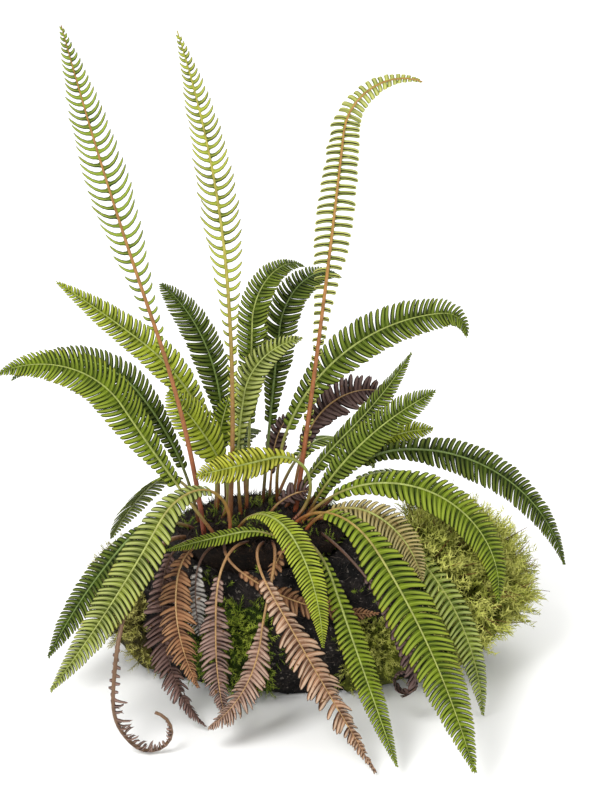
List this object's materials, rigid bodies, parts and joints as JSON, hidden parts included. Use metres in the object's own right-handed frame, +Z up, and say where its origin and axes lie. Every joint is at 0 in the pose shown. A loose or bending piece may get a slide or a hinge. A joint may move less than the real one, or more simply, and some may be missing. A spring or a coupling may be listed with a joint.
{
  "type": "deer fern",
  "caption": "Free-standing tuft of deer fern with upright fertile fronds, arching and withered sterile fronds, a rhizome crown and a mossy soil clod",
  "frame": {"origin": "centre of the clod's flat base, under the rhizome crown", "axes": "+Z up, viewer's side at -Y, +X to the viewer's right"},
  "size_m": [0.5182, 0.4757, 0.6285],
  "materials": {
    "rhizome": "scaly brown-black stock, matt",
    "soil": "damp dark humus, matt",
    "moss_yellow": "yellow-green moss, matt",
    "moss_fresh": "fresh green moss, matt",
    "moss_dry": "dry olive moss, matt",
    "fertile_leaf": "narrow pinnae on an orange-brown rib, satin",
    "leaf_mid": "mid green, satin",
    "leaf_dark": "dark green, satin",
    "leaf_light": "light yellow-green, satin",
    "dying_leaf": "olive-tan, matt",
    "leaf_blue_green": "blue-green, satin",
    "leaf_yellow": "bright yellow-green, satin",
    "dead_leaf_dark": "withered purple-brown, matt",
    "dead_leaf_tan": "withered tan and rust, matt"
  },
  "bodies": {
    "root": {"rhizome_crown": "rhizome", "soil_clod": "soil", "moss_right": "moss_yellow", "moss_front_right": "moss_yellow", "moss_front": "moss_fresh", "moss_left": "moss_dry", "moss_back": "moss_yellow", "fertile_frond_left": "fertile_leaf", "fertile_frond_middle": "fertile_leaf", "fertile_frond_right": "fertile_leaf", "frond_left_long": "leaf_mid", "frond_left_dark": "leaf_dark", "frond_left_upper": "leaf_light", "frond_back_left": "leaf_dark", "frond_inner_left": "leaf_light", "frond_inner_back": "leaf_light", "frond_back_middle": "leaf_mid", "frond_back_right": "leaf_dark", "frond_inner_right": "leaf_light", "frond_right_upper": "leaf_mid", "frond_right_folded": "leaf_dark", "frond_right_middle": "leaf_mid", "frond_right_short": "leaf_light", "frond_right_far": "leaf_dark", "frond_right_arched": "leaf_mid", "frond_right_olive": "dying_leaf", "frond_front_right": "leaf_mid", "frond_front_blue": "leaf_blue_green", "frond_front_low": "leaf_mid", "frond_front_middle": "leaf_light", "frond_front_left": "leaf_light", "frond_front_left_dark": "leaf_dark", "frond_front_small": "leaf_mid", "frond_across_centre": "leaf_yellow", "frond_rear_left": "leaf_mid", "frond_rear_centre": "leaf_dark", "frond_rear_right": "leaf_mid", "frond_rear_far_right": "leaf_dark", "dead_frond_purple": "dead_leaf_dark", "dead_frond_rust": "dead_leaf_tan", "dead_frond_grey": "dead_leaf_dark", "dead_frond_pink": "dead_leaf_tan", "dead_frond_tan": "dead_leaf_tan", "dead_frond_stub": "dead_leaf_tan", "dead_frond_sideways": "dead_leaf_tan", "dead_frond_curled": "dead_leaf_tan", "dead_frond_coiled": "dead_leaf_dark", "dead_frond_back": "dead_leaf_dark", "dead_frond_silver": "dead_leaf_dark", "dead_frond_between": "dead_leaf_dark", "dead_frond_edge": "dead_leaf_dark"}
  },
  "joints": []
}
